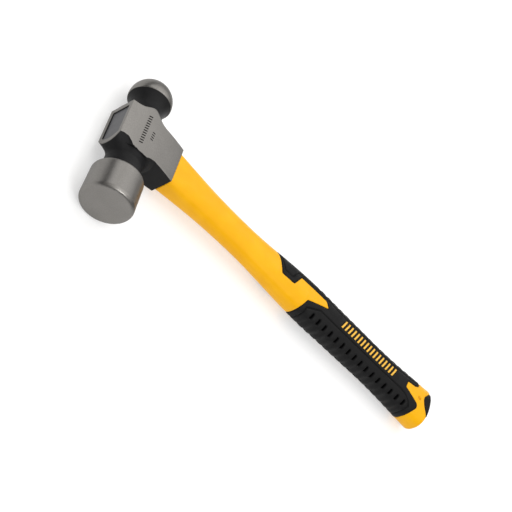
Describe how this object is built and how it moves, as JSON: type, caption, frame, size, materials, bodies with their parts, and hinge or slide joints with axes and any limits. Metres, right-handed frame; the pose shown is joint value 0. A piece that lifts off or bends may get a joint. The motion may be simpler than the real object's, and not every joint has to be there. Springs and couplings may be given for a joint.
{
  "type": "ball peen hammer",
  "caption": "Ball peen hammer for metalwork: forged steel head with a bevelled striking face and a ball peen, on a jacketed fibreglass handle with a rubber grip.",
  "frame": {"origin": "centre of the flat striking face", "axes": "+X along the handle from the head axis to the butt, +Y along the head axis from the striking face to the ball, +Z out of the upper cheek, so the hammer lies on its side"},
  "size_m": [0.3778, 0.13, 0.0426],
  "materials": {
    "head_steel": "ground steel with black painted necks",
    "core_fibreglass": "pultruded glass fibre rod",
    "jacket_yellow": "satin moulded yellow",
    "bond_resin": "cast grey resin",
    "grip_rubber": "matte textured black",
    "pad_rubber": "matte black"
  },
  "bodies": {
    "root": {"hammer_head": "head_steel", "fibreglass_core": "core_fibreglass", "handle_jacket": "jacket_yellow", "eye_bond": "bond_resin", "grip": "grip_rubber", "butt_pad": "pad_rubber"}
  },
  "joints": []
}
